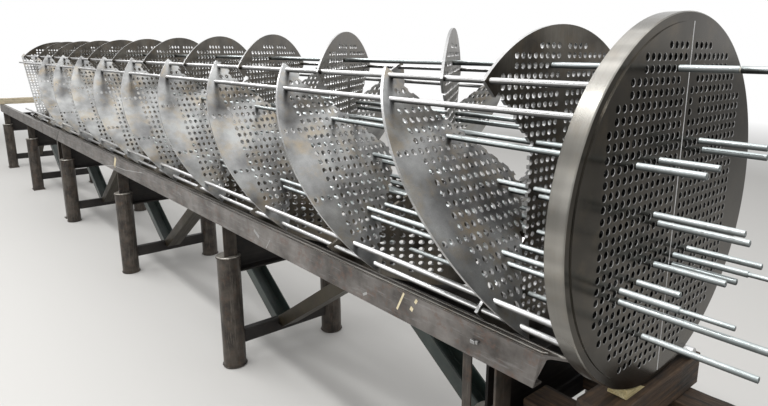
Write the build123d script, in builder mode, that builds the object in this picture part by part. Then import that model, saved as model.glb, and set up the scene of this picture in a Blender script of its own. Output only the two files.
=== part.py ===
"""Tube bundle of a helical-baffle heat exchanger, part built, on its assembly bench.

A thick drilled tubesheet stands at one end. Behind it, quarter-round plates are held
at a slant on tie rods, so that together they form a double helix round the bundle's
axis. The first tubes are already pushed through. The plates rest on a long steel
trestle bench, and the tubesheet on a crib of timbers.

Millimetres, +Z up. The bundle's axis runs along X, with the tubesheet's outer face
towards +X. The origin is on the floor, midway along the whole length.
"""
from build123d import *
from math import cos, radians, sin, sqrt, tan
import os

os.makedirs("parts", exist_ok=True)

# Tube layout
pitch = 25.4                # square lattice of the tube holes
centre_lane = 49.0          # between the two middle columns of holes
tube_od = 15.9
tube_wall = 1.65
tube_clearance = 0.2        # on the radius, in plates and tubesheet

# Tubesheet
sheet_radius = 456.0
sheet_thickness = 51.0
rim_width = 22.0            # from the rim in to the raised face
face_step = 3.0
groove_width = 5.0          # seat of the pass partition, upright across the face
groove_depth = 2.0

# Quarter plates of the double helix
plate_radius = 437.0
plate_thickness = 8.0
plate_tilt = 40.5           # degrees from square to the axis
plate_lead = 582.0          # along the axis, from one plate to the next like it
plate_rows = 11             # near plates, and as many far ones
first_plate = 466.0         # behind the outer face, on the axis
apex_setback = 20.0         # the plate's point stops short of the axis
edge_gap = 0.5              # from a plate's straight edge to the diagonal beside it
plates_per_node = 3
trimmed_rows = 2            # the last near plates are cut straight at the side
trim_margin = 6.0           # from that cut to the side rod

# Square end plates
end_thickness = 10.0
end_setback = 124.0         # before the first near plate and after the last
window_clearance = 3.0      # from the window's upright edge to the slanted plate

# Tie rods
rod_radius = 8.0
rod_clearance = 0.3
corner_rod_inset = 17.6     # from the plates' rim to the rod on each diagonal
side_rod_inset = 26.5       # from the plates' rim
side_rod_angle = 34.8       # degrees above and below the level through the axis
rod_seat = 25.0             # depth of the blind holes in the tubesheet
rod_overrun = 180.0         # past the last end plate
ear_margin = 9.0            # metal round a corner rod, past the diagonal
ear_length = 82.0
hole_sides = 6              # drilled round; six flats keep the many crossings light
bar_sides = 12              # of the long thin bars
nut_width = 24.0            # across the flats
nut_height = 13.0

# Tubes in place: column and row in the lattice, and reach in front of the face
upper_tubes = {(-2, 13): 125.0, (4, 6): 151.0}
middle_tubes = {(-8, 5): 143.0, (-4, 0): 193.0, (1, -5): 171.0, (4, -5): 174.0}
lower_tubes = {(-9, -6): 132.0, (-9, -7): 300.0, (-4, -12): 256.0}
tube_overrun = 150.0        # past the last end plate
open_holes = [(3, 10), (10, 3), (7, 7)]  # tube holes left open, in each quarter

# Bench
axis_height = 1150.0
rail_half_gap = 295.0       # from the middle to the inner edge of each rail
rail_height = 98.0
rail_flange = 35.0
rail_web = 6.0
rail_flange_thickness = 8.5
seat_gap = 0.3              # between the plates' rims and what carries them
rail_start = 128.0          # behind the outer face
rail_overrun = 80.0         # past the middle of the last trestle
trestle_count = 6
trestle_start = 300.0       # behind the outer face
trestle_spacing = 1640.0
leg_middle = 285.0          # from the middle to each pipe leg
leg_radius = 54.0
leg_sides = 16
leg_height = 570.0
post_width = 65.0
post_wall = 8.0
plate_room = 8.0            # from the plates down to the bolsters and the spine
bolster_height = 225.0
bolster_width = 60.0
cross_bar_height = 70.0
cross_bar_width = 40.0
cross_bar_middle = 140.0    # above the floor
spine_height = 50.0         # of the beam that joins the bolsters
spine_width = 60.0
brace_depth = 60.0
brace_width = 88.0
brace_gap = 12.0            # between two heads under the spine

# Timber
crib_layers = 7
timber_width = 110.0
crib_length = 460.0         # of each timber
crib_front = 20.0           # the top timber's reach in front of the outer face
crib_offset = 150.0         # from the middle to each timber of a pair
wedge_length = 90.0
wedge_height = 42.0
chock_radius = 16.0
chock_length = 110.0
wedge_toe = 4.0             # height of its thin end
loose_width = 100.0         # loose timber lying across the rails at the far end
loose_length = 700.0
loose_height = 75.0

# Lengths worked out from the ones above
last_trestle = trestle_start + (trestle_count - 1) * trestle_spacing
bench_end = last_trestle + rail_overrun
longest_reach = max([*upper_tubes.values(), *middle_tubes.values(), *lower_tubes.values()])
face_x = (bench_end - longest_reach) / 2
last_plate = first_plate + (plate_rows - 1) * plate_lead
first_end = first_plate - end_setback
last_end = last_plate + end_setback
slope = tan(radians(plate_tilt))
plate_along = plate_thickness / cos(radians(plate_tilt))
face_radius = sheet_radius - rim_width
hole_radius = tube_od / 2 + tube_clearance
rod_hole_radius = rod_radius + rod_clearance
rail_top = axis_height - sqrt((plate_radius + seat_gap) ** 2 - rail_half_gap**2)
rail_outside = rail_half_gap + rail_flange
rail_bottom = rail_top - rail_height
bolster_top = axis_height - plate_radius - plate_room
bolster_bottom = bolster_top - bolster_height
spine_bottom = bolster_top - spine_height
crib_top = axis_height - sheet_radius - seat_gap
timber_height = crib_top / crib_layers


def across(behind):
    """A plane square to the axis, at a distance behind the tubesheet's outer face."""
    return Plane(origin=(face_x - behind, 0, axis_height), x_dir=(0, 1, 0), z_dir=(1, 0, 0))


def site(column, row):
    """Centre of a tube hole, across and up from the axis."""
    side = 1 if column > 0 else -1
    return (side * (centre_lane / 2 + (abs(column) - 1) * pitch), row * pitch)


def four(place):
    """A place and its mirror images in the other three quarters."""
    return [(side * place[0], rise * place[1]) for side in (-1, 1) for rise in (-1, 1)]


def clearance_holes(radius, places, mode=Mode.ADD):
    """The outlines of holes that a round bar of a little less radius passes."""
    with Locations(*places):
        RegularPolygon(radius, hole_sides, major_radius=False, mode=mode)


all_tubes = [*upper_tubes, *middle_tubes, *lower_tubes]
tube_sites = [site(*place) for place in all_tubes]
corner_distance = plate_radius - corner_rod_inset
side_distance = plate_radius - side_rod_inset
side_up = radians(side_rod_angle)
corner_sites = four((corner_distance / sqrt(2), corner_distance / sqrt(2)))
side_sites = four((side_distance * cos(side_up), side_distance * sin(side_up)))
open_sites = [spot for place in open_holes for spot in four(site(*place))]

# Tubesheet: a thick disc with a raised face, drilled through for the tubes and blind
# from behind for the tie rods
with BuildPart() as tubesheet:
    with BuildSketch(across(sheet_thickness)):
        Circle(sheet_radius)
    extrude(amount=sheet_thickness - face_step)
    with BuildSketch(across(face_step)):
        Circle(face_radius)
    extrude(amount=face_step)
    with BuildSketch(across(0)):
        Rectangle(groove_width, 2 * sheet_radius)
    extrude(amount=-groove_depth, mode=Mode.SUBTRACT)
    with BuildSketch(across(0)):
        with Locations(*open_sites):
            Circle(hole_radius)
        clearance_holes(hole_radius, tube_sites)
    extrude(amount=-sheet_thickness, mode=Mode.SUBTRACT)
    with BuildSketch(across(sheet_thickness)):
        clearance_holes(rod_hole_radius, corner_sites + side_sites)
    extrude(amount=rod_seat, mode=Mode.SUBTRACT)
tubesheet.part.label = "tubesheet"
export_step(tubesheet.part, "parts/tubesheet.step")


def ears():
    """Square ears round the corner rods, laid along both diagonals of a quarter."""
    for turn in (-45, 45):
        with Locations(Location((0, 0), turn)):
            with Locations((corner_distance, 0)):
                Rectangle(ear_length, 2 * (rod_radius + ear_margin))


# One quarter plate, not yet drilled, about the X axis: it reaches towards -Y and leans
# away from the tubesheet as it rises. Its edges are cut parallel to the axis.
side = Plane(origin=(0, 0, 0), x_dir=(0, -1, 0), z_dir=(1, 0, 0))
beyond = 2 * plate_radius
with BuildPart() as blank:
    with BuildSketch(Plane.XZ):
        with BuildLine():
            Polyline(
                (plate_along / 2 - slope * beyond, beyond),
                (-plate_along / 2 - slope * beyond, beyond),
                (-plate_along / 2 + slope * beyond, -beyond),
                (plate_along / 2 + slope * beyond, -beyond),
                close=True,
            )
        make_face()
    extrude(amount=beyond, both=True)
    with BuildSketch(side):
        lead_in = edge_gap * sqrt(2)
        with BuildLine():
            Polyline(
                (apex_setback, lead_in - apex_setback),
                (apex_setback, apex_setback - lead_in),
                (beyond, beyond - lead_in),
                (beyond, lead_in - beyond),
                close=True,
            )
        make_face()
        ears()
        Circle(plate_radius, mode=Mode.INTERSECT)
    extrude(amount=slope * beyond + plate_along, both=True, mode=Mode.INTERSECT)

# The same plate cut off straight inside the side rods
trim_reach = abs(side_sites[0][0]) - rod_radius - trim_margin
with BuildPart() as trimmed_blank:
    add(blank.part)
    with BuildSketch(side):
        with Locations((trim_reach, 0)):
            Rectangle(beyond, 2 * beyond, align=(Align.MIN, Align.CENTER))
    extrude(amount=slope * beyond, both=True, mode=Mode.SUBTRACT)


def drilled(plate, turn):
    """A quarter plate turned about the axis, drilled for the rods and tubes in place."""
    with BuildPart() as quarter:
        add(plate, rotation=(turn, 0, 0))
        with BuildSketch(Plane.YZ):
            clearance_holes(hole_radius, tube_sites)
            clearance_holes(rod_hole_radius, corner_sites + side_sites)
        extrude(amount=slope * beyond, both=True, mode=Mode.SUBTRACT)
    return quarter.part


near_turn, bottom_turn, far_turn, top_turn = 0, 90, 180, -90
near_plate = drilled(blank.part, near_turn)
trimmed_plate = drilled(trimmed_blank.part, near_turn)
far_plate = drilled(blank.part, far_turn)
top_plate = drilled(blank.part, top_turn)
bottom_plate = drilled(blank.part, bottom_turn)


def row_of_plates(name, plates, first):
    """Plates one lead apart, written a few to a node."""
    for start in range(0, len(plates), plates_per_node):
        label = f"{name}_{start // plates_per_node + 1}"
        with BuildPart() as group:
            for number, plate in enumerate(plates[start:start + plates_per_node], start):
                with Locations((face_x - first - number * plate_lead, 0, axis_height)):
                    add(plate)
        group.part.label = label
        export_step(group.part, f"parts/{label}.step")


whole_plates = plate_rows - trimmed_rows
half_way = first_plate + plate_lead / 2
near_row = [near_plate] * whole_plates + [trimmed_plate] * trimmed_rows
row_of_plates("near_plates", near_row, first_plate)
row_of_plates("far_plates", [far_plate] * plate_rows, first_plate)
row_of_plates("top_plates", [top_plate] * (plate_rows - 1), half_way)
row_of_plates("bottom_plates", [bottom_plate] * (plate_rows - 1), half_way)


def end_plate(behind, name):
    """A square end plate, open at both sides where the first slanted plates pass it."""
    crossing = (end_setback - (plate_along + end_thickness) / 2) / slope
    window = crossing - window_clearance
    with BuildPart() as plate:
        with BuildSketch(across(behind + end_thickness / 2)):
            Circle(plate_radius)
            for turn in (0, 180):
                with BuildLine(Rotation(0, 0, turn) * Plane.XY):
                    Polyline(
                        (window, window),
                        (beyond, beyond),
                        (beyond, -beyond),
                        (window, -window),
                        close=True,
                    )
                make_face(mode=Mode.SUBTRACT)
            for turn in (0, 180):
                with Locations(Location((0, 0), turn)):
                    ears()
            Circle(plate_radius, mode=Mode.INTERSECT)
            clearance_holes(hole_radius, tube_sites, Mode.SUBTRACT)
            clearance_holes(rod_hole_radius, corner_sites, Mode.SUBTRACT)
        extrude(amount=end_thickness)
    plate.part.label = name
    export_step(plate.part, f"parts/{name}.step")


end_plate(first_end, "first_end_plate")
end_plate(last_end, "last_end_plate")

# Tie rods, from their blind seats in the tubesheet to past the last end plate
rod_front = sheet_thickness - rod_seat
rod_length = last_end + rod_overrun - rod_front
for name, places in (("corner_tie_rods", corner_sites), ("side_tie_rods", side_sites)):
    with BuildPart() as rods:
        with BuildSketch(across(rod_front)):
            with Locations(*places):
                RegularPolygon(rod_radius, bar_sides)
        extrude(amount=-rod_length)
    rods.part.label = name
    export_step(rods.part, f"parts/{name}.step")

# A nut on each corner rod, drawn up against the last end plate
with BuildPart() as tie_rod_nuts:
    with BuildSketch(across(last_end + end_thickness / 2)):
        with Locations(*corner_sites):
            RegularPolygon(nut_width / 2, 6, major_radius=False)
        clearance_holes(rod_hole_radius, corner_sites, Mode.SUBTRACT)
    extrude(amount=-nut_height)
tie_rod_nuts.part.label = "tie_rod_nuts"
export_step(tie_rod_nuts.part, "parts/tie_rod_nuts.step")

# Tubes pushed through so far
tube_back = last_end + tube_overrun
tube_groups = {"upper_tubes": upper_tubes, "middle_tubes": middle_tubes, "lower_tubes": lower_tubes}
for name, places in tube_groups.items():
    with BuildPart() as tubes:
        for place, reach in places.items():
            with BuildSketch(across(-reach)):
                with Locations(site(*place)):
                    RegularPolygon(tube_od / 2, bar_sides)
                    RegularPolygon(tube_od / 2 - tube_wall, bar_sides, mode=Mode.SUBTRACT)
            extrude(amount=-(reach + tube_back))
    tubes.part.label = name
    export_step(tubes.part, f"parts/{name}.step")

# Bench rails: two channels, back to back with their flanges turned in
with BuildPart() as near_rail:
    with BuildSketch(Plane(origin=(face_x - rail_start, 0, 0), x_dir=(0, 1, 0), z_dir=(1, 0, 0))):
        with Locations((-rail_outside, rail_bottom)):
            Rectangle(rail_flange, rail_height, align=(Align.MIN, Align.MIN))
        with Locations((-rail_outside + rail_web, rail_bottom + rail_flange_thickness)):
            Rectangle(
                rail_flange,
                rail_height - 2 * rail_flange_thickness,
                align=(Align.MIN, Align.MIN),
                mode=Mode.SUBTRACT,
            )
    extrude(amount=-(bench_end - rail_start))
near_rail.part.label = "near_rail"
export_step(near_rail.part, "parts/near_rail.step")

with BuildPart() as far_rail:
    add(near_rail.part)
    mirror(about=Plane.XZ, mode=Mode.REPLACE)
far_rail.part.label = "far_rail"
export_step(far_rail.part, "parts/far_rail.step")

# The braces rise lengthwise from a trestle's cross bar to the spine at mid-span. A
# brace's slope and the length of its level ends follow from each other: iterate
brace_rise = spine_bottom - cross_bar_middle
brace_half = brace_depth
for _ in range(30):
    brace_run = (trestle_spacing - brace_gap) / 2 - brace_half
    brace_half = brace_depth / 2 * sqrt(1 + (brace_run / brace_rise) ** 2)


def trestle(number):
    """Two pipe legs, an angle post on each, a deep bolster, a low cross bar and braces."""
    middle = face_x - trestle_start - number * trestle_spacing
    towards = [side for side in (1, -1) if 0 <= number - side < trestle_count]
    with BuildPart() as standing:
        with BuildSketch():
            with Locations((middle, -leg_middle), (middle, leg_middle)):
                RegularPolygon(leg_radius, leg_sides)
        extrude(amount=leg_height)
        with BuildSketch(Plane.XY.offset(leg_height)):
            with Locations((middle, 0)):
                for turn in (0, 180):
                    with Locations(Location((0, 0), turn)):
                        with Locations((-post_width / 2, leg_middle - post_width / 2 + post_wall)):
                            Rectangle(post_wall, post_width - post_wall, align=(Align.MIN, Align.MIN))
                        with Locations((0, leg_middle - post_width / 2 + post_wall / 2)):
                            Rectangle(post_width, post_wall)
        extrude(amount=rail_bottom - leg_height)
        with BuildSketch(Plane.YZ.offset(middle)):
            with Locations((0, (bolster_top + bolster_bottom) / 2)):
                Rectangle(2 * leg_middle, bolster_height)
        extrude(amount=bolster_width / 2, both=True)
        with BuildSketch(Plane.YZ.offset(middle)):
            with Locations((0, cross_bar_middle)):
                Rectangle(2 * leg_middle, cross_bar_height)
        extrude(amount=cross_bar_width / 2, both=True)
        with BuildSketch(Plane.XZ):
            for side in towards:
                with BuildLine():
                    Polyline(
                        (middle - brace_half, cross_bar_middle),
                        (middle + brace_half, cross_bar_middle),
                        (middle + side * brace_run + brace_half, spine_bottom),
                        (middle + side * brace_run - brace_half, spine_bottom),
                        close=True,
                    )
                make_face()
        extrude(amount=brace_width / 2, both=True)
    standing.part.label = f"trestle_{number + 1}"
    export_step(standing.part, f"parts/trestle_{number + 1}.step")


for number in range(trestle_count):
    trestle(number)

# The spine: one length of beam between each two bolsters, under the plates
with BuildPart() as bench_spine:
    for number in range(trestle_count - 1):
        between = face_x - trestle_start - (number + 0.5) * trestle_spacing
        with Locations((between, 0, spine_bottom)):
            Box(
                trestle_spacing - bolster_width,
                spine_width,
                spine_height,
                align=(Align.CENTER, Align.CENTER, Align.MIN),
            )
bench_spine.part.label = "bench_spine"
export_step(bench_spine.part, "parts/bench_spine.step")

# Timber crib: pairs laid crosswise from the floor up, and a single one on top
crib_middle = face_x + crib_front - timber_width / 2
for name, lengthwise in (("crib_long_timbers", True), ("crib_cross_timbers", False)):
    with BuildPart() as timbers:
        for layer in range(crib_layers - 1):
            if ((crib_layers - layer) % 2 == 0) == lengthwise:
                for offset in (-crib_offset, crib_offset):
                    if lengthwise:
                        centre = (crib_middle, offset, layer * timber_height)
                        size = (crib_length, timber_width, timber_height)
                    else:
                        centre = (crib_middle + offset, 0, layer * timber_height)
                        size = (timber_width, crib_length, timber_height)
                    with Locations(centre):
                        Box(*size, align=(Align.CENTER, Align.CENTER, Align.MIN))
    timbers.part.label = name
    export_step(timbers.part, f"parts/{name}.step")

with BuildPart() as cap_timber:
    with Locations((crib_middle, 0, crib_top - timber_height)):
        Box(timber_width, crib_length, timber_height, align=(Align.CENTER, Align.CENTER, Align.MIN))
cap_timber.part.label = "cap_timber"
export_step(cap_timber.part, "parts/cap_timber.step")

# Against rolling, a wedge on the near side of the tubesheet and a round bar on the far
seat_radius = sheet_radius + seat_gap
wedge_tip = sqrt(seat_radius**2 - (seat_radius - wedge_toe) ** 2)
with BuildPart() as rolling_wedge:
    with BuildSketch(across(sheet_thickness / 2)):
        with BuildLine():
            Polyline(
                (-wedge_tip, -seat_radius),
                (-wedge_tip - wedge_length, -seat_radius),
                (-wedge_tip - wedge_length, wedge_height - seat_radius),
                close=True,
            )
        make_face()
        Circle(seat_radius, mode=Mode.SUBTRACT)
    extrude(amount=sheet_thickness / 2, both=True)
rolling_wedge.part.label = "rolling_wedge"
export_step(rolling_wedge.part, "parts/rolling_wedge.step")

chock_across = sqrt((seat_radius + chock_radius) ** 2 - (seat_radius - chock_radius) ** 2)
with BuildPart() as chock_bar:
    with BuildSketch(across(-crib_front)):
        with Locations((chock_across, chock_radius - seat_radius)):
            RegularPolygon(chock_radius, leg_sides)
    extrude(amount=-chock_length)
chock_bar.part.label = "chock_bar"
export_step(chock_bar.part, "parts/chock_bar.step")

with BuildPart() as bench_timber:
    with Locations((face_x - bench_end + loose_width, 0, rail_top)):
        Box(loose_width, loose_length, loose_height, align=(Align.CENTER, Align.CENTER, Align.MIN))
bench_timber.part.label = "bench_timber"
export_step(bench_timber.part, "parts/bench_timber.step")
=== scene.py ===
# %% [markdown]
# # A helical-baffle tube bundle on its assembly bench
# The real object is the inside of a shell-and-tube heat exchanger, part built. A thick
# drilled tubesheet stands at one end. Behind it, quarter-round perforated plates hang at
# a slant on tie rods, and together they wind twice round the bundle's axis. The first
# tubes are already pushed through, and everything lies on a long steel trestle bench.
#
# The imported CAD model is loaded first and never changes. Each visible piece is made
# around it, in metres, in the same frame: X runs along the bundle towards the tubesheet's
# outer face, Z is up, and the near side is -Y.

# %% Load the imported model
from math import acos, atan2, cos, degrees, pi, radians, sin, sqrt, tan

import bmesh
import bpy
from mathutils import Matrix, Vector, noise as field


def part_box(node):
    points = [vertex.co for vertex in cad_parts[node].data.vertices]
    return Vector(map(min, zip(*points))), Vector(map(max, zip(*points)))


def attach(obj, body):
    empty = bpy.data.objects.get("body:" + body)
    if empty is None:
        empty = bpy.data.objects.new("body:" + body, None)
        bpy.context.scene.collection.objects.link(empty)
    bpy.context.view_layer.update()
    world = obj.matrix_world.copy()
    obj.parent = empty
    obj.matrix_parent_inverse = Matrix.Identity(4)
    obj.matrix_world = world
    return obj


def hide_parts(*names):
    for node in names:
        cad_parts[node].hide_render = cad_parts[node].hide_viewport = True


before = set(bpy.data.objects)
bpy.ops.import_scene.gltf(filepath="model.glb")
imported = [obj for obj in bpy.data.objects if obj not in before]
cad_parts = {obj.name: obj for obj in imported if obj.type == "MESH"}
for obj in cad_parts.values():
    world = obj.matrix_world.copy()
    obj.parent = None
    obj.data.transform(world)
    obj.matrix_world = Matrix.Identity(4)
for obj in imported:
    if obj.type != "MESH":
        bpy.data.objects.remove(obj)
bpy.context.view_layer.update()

# %% [markdown]
# ## Camera
# The photograph is a crop of a wider picture, so the lens axis doesn't pass through its
# middle. A shifted lens says exactly that. The place and the angles come from matching
# the rims, rods and tube holes whose real sizes are known.

# %% Camera at the photograph's viewpoint
camera_place = Vector((4.73688, -1.38226, 1.51499))
camera_yaw = radians(138.544)
camera_pitch = radians(12.789)     # downwards
camera_roll = radians(-0.273)

forward = Vector((cos(camera_yaw) * cos(camera_pitch), sin(camera_yaw) * cos(camera_pitch),
                  -sin(camera_pitch)))
level_right = Vector((sin(camera_yaw), -cos(camera_yaw), 0))
level_down = forward.cross(level_right)
right = cos(camera_roll) * level_right + sin(camera_roll) * level_down
down = cos(camera_roll) * level_down - sin(camera_roll) * level_right

camera_data = bpy.data.cameras.new("camera")
camera_data.lens = 27.395
camera_data.sensor_width = 36.0
camera_data.shift_x = -0.03277
camera_data.shift_y = -0.02523
camera = bpy.data.objects.new("camera", camera_data)
bpy.context.scene.collection.objects.link(camera)
turned_camera = Matrix((right, -down, -forward)).transposed().to_4x4()
camera.matrix_world = Matrix.Translation(camera_place) @ turned_camera
bpy.context.scene.camera = camera
print("camera looks along", [round(v, 3) for v in forward])

# %% [markdown]
# ## Sizes
# What the frame can say is read from it. The rest are the sizes that drive the holes,
# the plates and the rods, the same ones that the construction uses.

# %% Sizes read from the frame
sheet_low, sheet_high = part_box("tubesheet")
face_x = sheet_high.x
axis_height = (sheet_low.z + sheet_high.z) / 2
sheet_radius = (sheet_high.z - sheet_low.z) / 2
sheet_thickness = sheet_high.x - sheet_low.x
rail_low, rail_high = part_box("near_rail")
rod_low, rod_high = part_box("corner_tie_rods")
tube_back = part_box("middle_tubes")[0].x
print(f"tubesheet radius {sheet_radius:.3f}, axis {axis_height:.3f} above the floor")

# %% Sizes of the bundle
pitch = 0.0254                 # square lattice of the tube holes
centre_lane = 0.0490           # between the two middle columns
tube_radius = 0.0159 / 2
tube_bore = tube_radius - 0.00165
hole_radius = tube_radius + 0.0002
rod_radius = 0.008
rod_hole_radius = rod_radius + 0.0003

plate_radius = 0.437
plate_tilt = radians(40.5)
slope = tan(plate_tilt)
plate_along = 0.008 / cos(plate_tilt)      # thickness measured along the axis
plate_lead = 0.582
first_plate = 0.466                        # behind the tubesheet's outer face
plate_rows = 11
plates_per_node = 3
end_thickness = 0.010
end_setback = 0.124
last_plate = first_plate + (plate_rows - 1) * plate_lead
first_end = first_plate - end_setback
last_end = last_plate + end_setback

corner_distance = plate_radius - 0.0176
side_distance = plate_radius - 0.0265
side_angle = radians(34.8)
corner_across = corner_distance / sqrt(2)
side_across = side_distance * cos(side_angle)
side_up = side_distance * sin(side_angle)
weld_distance = 0.00002        # points closer than this are one point
sharp_angle = 0.6              # radians; a flatter edge is shaded smooth
plate_sharp_angle = 0.7        # the same for the drilled plates


def four(across, up):
    """A place and its mirror images in the other three quarters."""
    return [(sy * across, sz * up) for sy in (-1, 1) for sz in (-1, 1)]


corner_sites = four(corner_across, corner_across)
side_sites = four(side_across, side_up)
print(f"{plate_rows} near plates from {first_plate:.3f} to {last_plate:.3f} behind the face")

# %% [markdown]
# ## Helpers
# A few small helpers keep the rest readable. `add_node` makes a node, sets its properties
# and links or fills its inputs in one call, and `result` gives one of its outputs at
# once. `keep` rides a finished piece on the assembly and hides the CAD nodes that it
# stands for.

# %% Helpers for nodes
def add_node(tree, kind, inputs=None, **settings):
    """A node with its properties and inputs set. A socket, or a list of them, is linked."""
    node = tree.nodes.new(kind)
    for name, value in settings.items():
        setattr(node, name, value)
    for key, value in (inputs or {}).items():
        for source in value if isinstance(value, list) else [value]:
            if isinstance(source, bpy.types.NodeSocket):
                tree.links.new(source, node.inputs[key])
            else:
                node.inputs[key].default_value = source
    return node


def result(tree, kind, inputs=None, pick=0, **settings):
    """One output of a new node: the first, unless another is picked."""
    return add_node(tree, kind, inputs, **settings).outputs[pick]


def calculate(tree, operation, first, second):
    """A number worked out from two others."""
    return result(tree, "ShaderNodeMath", {0: first, 1: second}, operation=operation)


def calculate_vector(tree, operation, inputs, pick="Vector"):
    """A vector worked out from others. Its length or a dot product is picked as Value."""
    return result(tree, "ShaderNodeVectorMath", inputs, pick, operation=operation)


# %% Helpers for pieces
def new_object(name, mesh):
    """An object at the origin that shows a mesh."""
    obj = bpy.data.objects.new(name, mesh)
    bpy.context.scene.collection.objects.link(obj)
    return obj


def keep(obj, slot, *nodes):
    """Rides a finished piece on the assembly. It may stand for CAD nodes."""
    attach(obj, "root")
    if nodes:
        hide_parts(*nodes)
    triangles = sum(len(face.vertices) - 2 for face in obj.data.polygons)
    print(f"{obj.name}: {triangles} triangles")


def round_points(radius, steps):
    """Points evenly round a circle."""
    return [(radius * cos(2 * pi * i / steps), radius * sin(2 * pi * i / steps)) for i in range(steps)]


def break_edges(obj, width, angle, segments=1):
    """A live Bevel modifier that breaks the edges sharper than an angle."""
    bevel = obj.modifiers.new("broken edges", "BEVEL")
    bevel.width = width
    bevel.segments = segments
    bevel.limit_method = "ANGLE"
    bevel.angle_limit = radians(angle)


# %% [markdown]
# ## Finishes
# Nearly everything here is bare steel, and bare steel is never one even grey. Mill scale
# and oil leave soft blotches, rolling and turning leave fine lines, and handling leaves
# scuffs and tan smears. The finishes are built from noises on Object coordinates, so that
# the pattern stays on the piece. A few small helpers keep each finish short.

# %% Helpers for finishes
def coordinates(tree, scale=(1, 1, 1), shift=(0, 0, 0)):
    """Object coordinates, stretched and moved by a Mapping node."""
    source = result(tree, "ShaderNodeTexCoord", pick="Object")
    return result(tree, "ShaderNodeMapping", {"Vector": source, "Scale": scale, "Location": shift})


def noise(tree, scale, size, detail=3.0, roughness=0.5, shift=(0, 0, 0)):
    """Noise of a size in metres, stretched by scale."""
    return result(tree, "ShaderNodeTexNoise", {
        "Vector": coordinates(tree, scale, shift), "Scale": 1 / size, "Detail": detail,
        "Roughness": roughness}, "Fac")


def spread(tree, factor, low, high, start=0.3, end=0.7):
    """A factor between start and end made a value between low and high."""
    return result(tree, "ShaderNodeMapRange", {
        "Value": factor, "From Min": start, "From Max": end, "To Min": low, "To Max": high})


def ramp(tree, factor, *stops):
    """A colour ramp through (place, colour) stops."""
    node = add_node(tree, "ShaderNodeValToRGB", {"Fac": factor})
    elements = node.color_ramp.elements
    while len(elements) < len(stops):
        elements.new(1.0)
    for element, (place, colour) in zip(elements, stops):
        element.position = place
        element.color = (*colour, 1)
    return node.outputs["Color"]


def mixed(tree, factor, first, second, blend="MIX"):
    """Two colours mixed by a factor."""
    return result(tree, "ShaderNodeMix", {0: factor, 6: first, 7: second}, 2,
                  data_type="RGBA", blend_type=blend)


def grey(level):
    """An even grey."""
    return (level, level, level)


def shaded(tree, colour, factor, *stops, amount=1.0):
    """A colour multiplied by a grey, which follows a factor through (place, level) stops."""
    greys = ramp(tree, factor, *[(place, grey(level)) for place, level in stops])
    return mixed(tree, amount, colour, greys, "MULTIPLY")


def laid_over(tree, colour, top, pattern, amount, start, end):
    """A second colour laid over the first where a pattern is strong."""
    return mixed(tree, spread(tree, pattern, 0.0, amount, start, end), colour, (*top, 1))


def new_finish(name, metallic):
    """A new material with its tree and its shader."""
    material = bpy.data.materials.new(name)
    material.use_nodes = True
    shader = material.node_tree.nodes["Principled BSDF"]
    shader.inputs["Metallic"].default_value = metallic
    return material, material.node_tree, shader


def connect(tree, shader, colour, roughness):
    """Links the finished colour and roughness to the shader."""
    tree.links.new(colour, shader.inputs["Base Color"])
    tree.links.new(roughness, shader.inputs["Roughness"])


def relief(tree, shader, height, strength, distance=0.001):
    """A bump from a height factor."""
    bump = result(tree, "ShaderNodeBump", {"Strength": strength, "Distance": distance, "Height": height})
    tree.links.new(bump, shader.inputs["Normal"])


# %% [markdown]
# ### Bare steel
# The plates, the tubesheet, the rods and the tubes share one recipe. Wide blotches move
# the colour between two greys, a stretched noise draws the rolling or turning lines, and
# a third noise lays a stain. On the tubesheet's face the lines must be circles, so there
# a one-dimensional noise reads the distance from the axis. The bars carry an attribute
# that says how high a point lies on them, and the colour darkens towards their undersides
# by it: painted shade.

# %% Bare steel
def turning_lines(tree, size):
    """Fine circles about the bundle's axis."""
    flat = coordinates(tree, (0, 1, 1), (0, 0, -axis_height))
    radius = calculate_vector(tree, "LENGTH", {0: flat}, "Value")
    return result(tree, "ShaderNodeTexNoise", {"W": radius, "Scale": 1 / size, "Detail": 4.0}, "Fac",
                  noise_dimensions="1D")


def steel(name, dark, light, stain, roughness, lines=(1, 1, 1), line_size=0.002, blotch=0.25,
          stain_size=0.02, stain_amount=0.5, line_depth=0.2, bump=0.0, metallic=1.0, turned=False,
          painted_reflection_bands=None, painted_shade_stops=None):
    """Bare steel: blotches between two colours, fine lines, a stain and uneven gloss."""
    material, tree, shader = new_finish(name, metallic)
    wide = noise(tree, (1, 1, 1), blotch, 4.0, 0.55)
    fine = turning_lines(tree, line_size) if turned else noise(tree, lines, line_size, 2.0)
    colour = ramp(tree, wide, (0.34, dark), (0.66, light))
    # Painted reflection: broad lighter and darker bands round the rim, where reflections would lie.
    if painted_reflection_bands:
        ring = noise(tree, (0, 1, 1), painted_reflection_bands, 3.0, 0.6)
        colour = shaded(tree, colour, ring, (0.34, 0.5), (0.50, 0.82), (0.66, 1.35))
    specks = noise(tree, (1, 1, 1), stain_size, 5.0, 0.65, (3.1, 0, 0))
    colour = laid_over(tree, colour, stain, specks, stain_amount, 0.5, 0.72)
    colour = shaded(tree, colour, fine, (0.3, 1 - line_depth), (0.7, 1 + line_depth / 2))
    # Painted shade: the colour grows darker towards the underside of a bar.
    if painted_shade_stops:
        height = result(tree, "ShaderNodeAttribute", pick="Fac", attribute_name="height")
        colour = shaded(tree, colour, spread(tree, height, 0.0, 1.0, -1.0, 1.0), *painted_shade_stops)
    connect(tree, shader, colour, spread(tree, wide, roughness * 0.85, roughness * 1.2))
    if bump:
        relief(tree, shader, fine, bump)
    return material


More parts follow.
